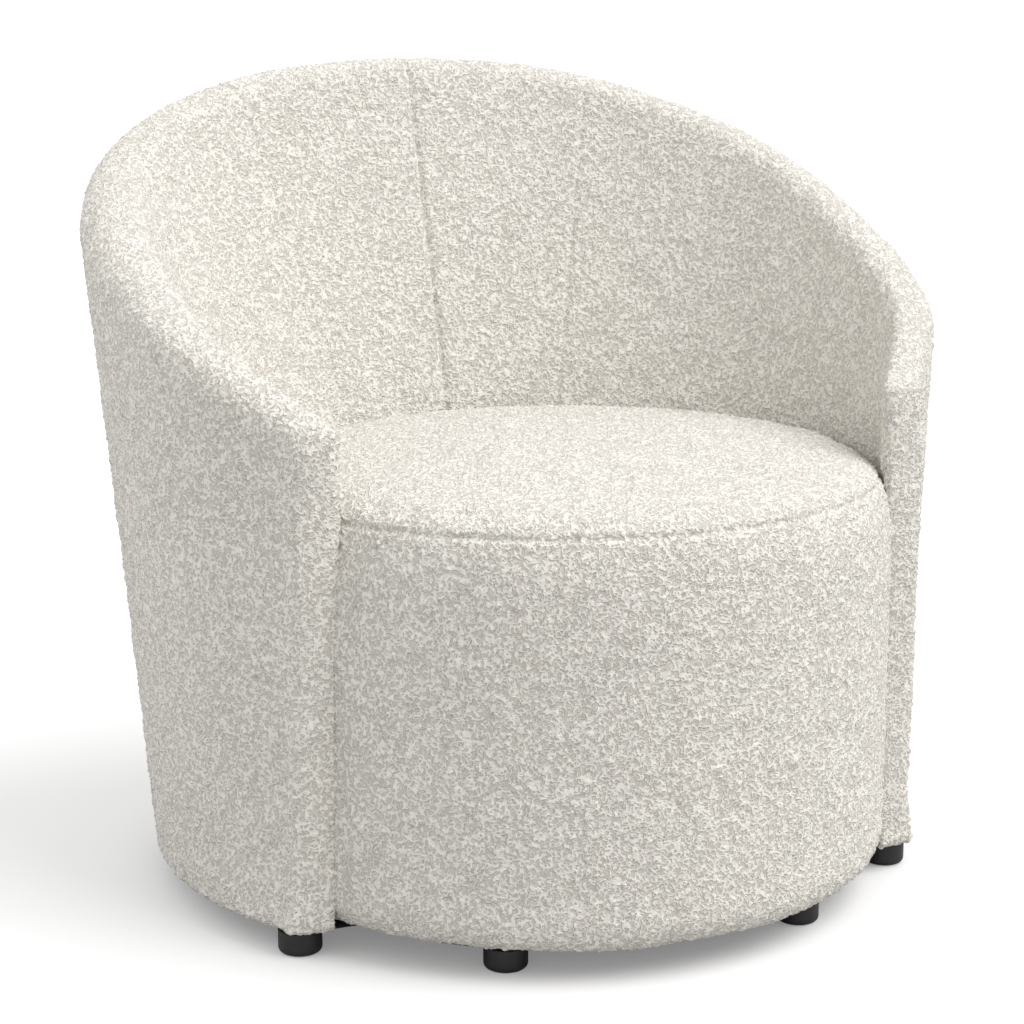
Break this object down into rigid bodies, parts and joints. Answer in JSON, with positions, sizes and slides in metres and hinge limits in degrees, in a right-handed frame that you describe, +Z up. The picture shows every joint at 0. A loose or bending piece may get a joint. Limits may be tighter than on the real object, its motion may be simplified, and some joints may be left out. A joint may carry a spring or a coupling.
{
  "type": "tub chair",
  "caption": "Round-backed upholstered tub chair: a low sloping back and arms wrap round a drum seat, on small round glides.",
  "frame": {"origin": "On the floor, at the middle of the width and of the depth.", "axes": "+X to the viewer's right when the chair is seen from its front, +Y from the front to the back, +Z up."},
  "size_m": [0.8052, 0.7436, 0.749],
  "materials": {
    "boucle_seat": "cream looped boucle cloth",
    "boucle_drum": "cream looped boucle cloth",
    "boucle_back": "cream looped boucle cloth",
    "boucle_arm": "cream looped boucle cloth",
    "boucle_outside": "cream looped boucle cloth",
    "boucle_facing": "cream looped boucle cloth",
    "foot_plastic": "moulded, fine matte",
    "zinc_steel": "zinc plated",
    "dust_cloth": "black non-woven cloth",
    "foam": "open-cell foam",
    "wadding": "polyester wadding",
    "webbing": "woven elastic strap",
    "tack_card": "plain card",
    "fibreboard": "thin hardboard",
    "plywood": "bare plywood"
  },
  "bodies": {
    "root": {"arm_facing_board_left": "plywood", "arm_facing_board_right": "plywood", "arm_facing_cover_left": "boucle_facing", "arm_facing_cover_right": "boucle_facing", "arm_facing_pad_left": "foam", "arm_facing_pad_right": "foam", "arm_foam_left": "foam", "arm_foam_right": "foam", "arm_post_left": "plywood", "arm_post_right": "plywood", "arm_rib_left": "plywood", "arm_rib_right": "plywood", "back_foam_left": "foam", "back_foam_right": "foam", "back_rib_centre": "plywood", "cross_dowels": "zinc_steel", "drum_band_cover": "boucle_drum", "drum_board": "plywood", "drum_lining": "fibreboard", "drum_lower_hoop": "plywood", "drum_pad": "foam", "drum_posts": "plywood", "drum_upper_hoop": "plywood", "dust_cover": "dust_cloth", "foot_arm_left": "foot_plastic", "foot_arm_right": "foot_plastic", "foot_back_left": "foot_plastic", "foot_back_right": "foot_plastic", "foot_front_left": "foot_plastic", "foot_front_right": "foot_plastic", "foot_studs": "zinc_steel", "foot_tee_nuts": "zinc_steel", "inner_lining_left": "fibreboard", "inner_lining_right": "fibreboard", "inside_arm_cover_left": "boucle_arm", "inside_arm_cover_right": "boucle_arm", "inside_back_cover_left": "boucle_back", "inside_back_cover_right": "boucle_back", "joining_bolts": "zinc_steel", "outside_cover_left": "boucle_outside", "outside_cover_right": "boucle_outside", "outside_lining_left": "fibreboard", "outside_lining_right": "fibreboard", "outside_wadding_left": "wadding", "outside_wadding_right": "wadding", "seat_cover": "boucle_seat", "seat_foam": "foam", "seat_rail_blocks": "plywood", "shoulder_rib_left": "plywood", "shoulder_rib_right": "plywood", "side_rib_left": "plywood", "side_rib_right": "plywood", "tack_strip_left": "tack_card", "tack_strip_right": "tack_card", "top_rail_left": "plywood", "top_rail_right": "plywood", "tub_board": "plywood", "webbing_crosswise": "webbing", "webbing_lengthwise": "webbing"}
  },
  "joints": []
}
